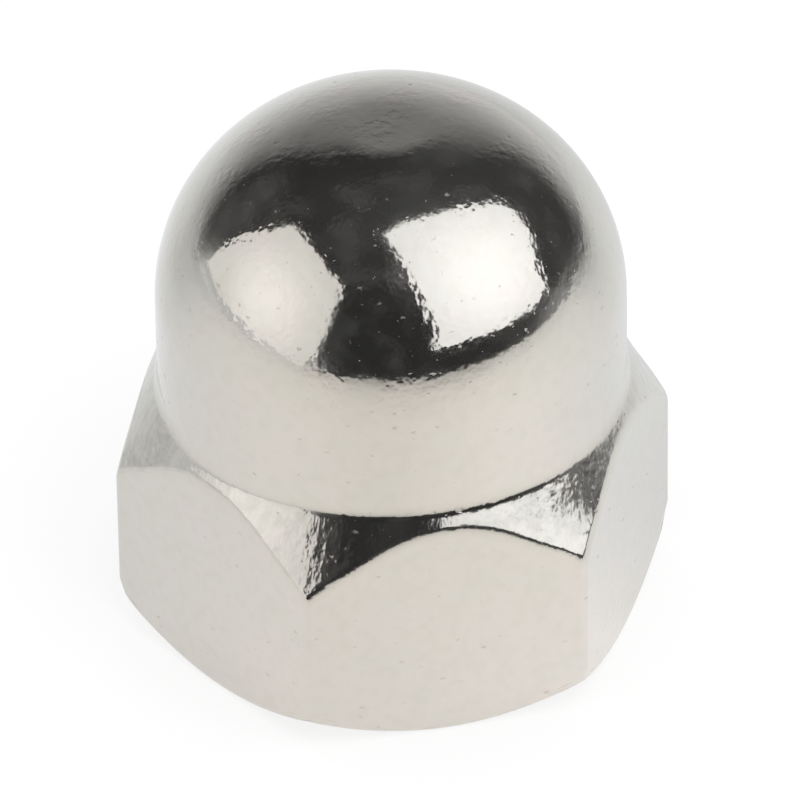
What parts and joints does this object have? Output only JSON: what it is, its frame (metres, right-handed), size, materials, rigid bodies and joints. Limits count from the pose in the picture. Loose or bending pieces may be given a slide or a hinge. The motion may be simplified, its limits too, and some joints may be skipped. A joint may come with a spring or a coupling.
{
  "type": "cap nut",
  "caption": "Domed cap nut: a hexagon for a spanner under a closed round crown, with a blind threaded hole that covers a bolt's end.",
  "frame": {"origin": "centre of the round bearing face, on the thread's axis", "axes": "+Z along the thread's axis from the bearing face up through the crown; two of the hexagon's flats face -Y and +Y, and its corners point along -X and +X"},
  "size_m": [0.015, 0.013, 0.015],
  "materials": {
    "bright_plating": "bright nickel plating on steel, faintly orange-peeled and pitted"
  },
  "bodies": {
    "root": {"cap_nut": "bright_plating"}
  },
  "joints": []
}
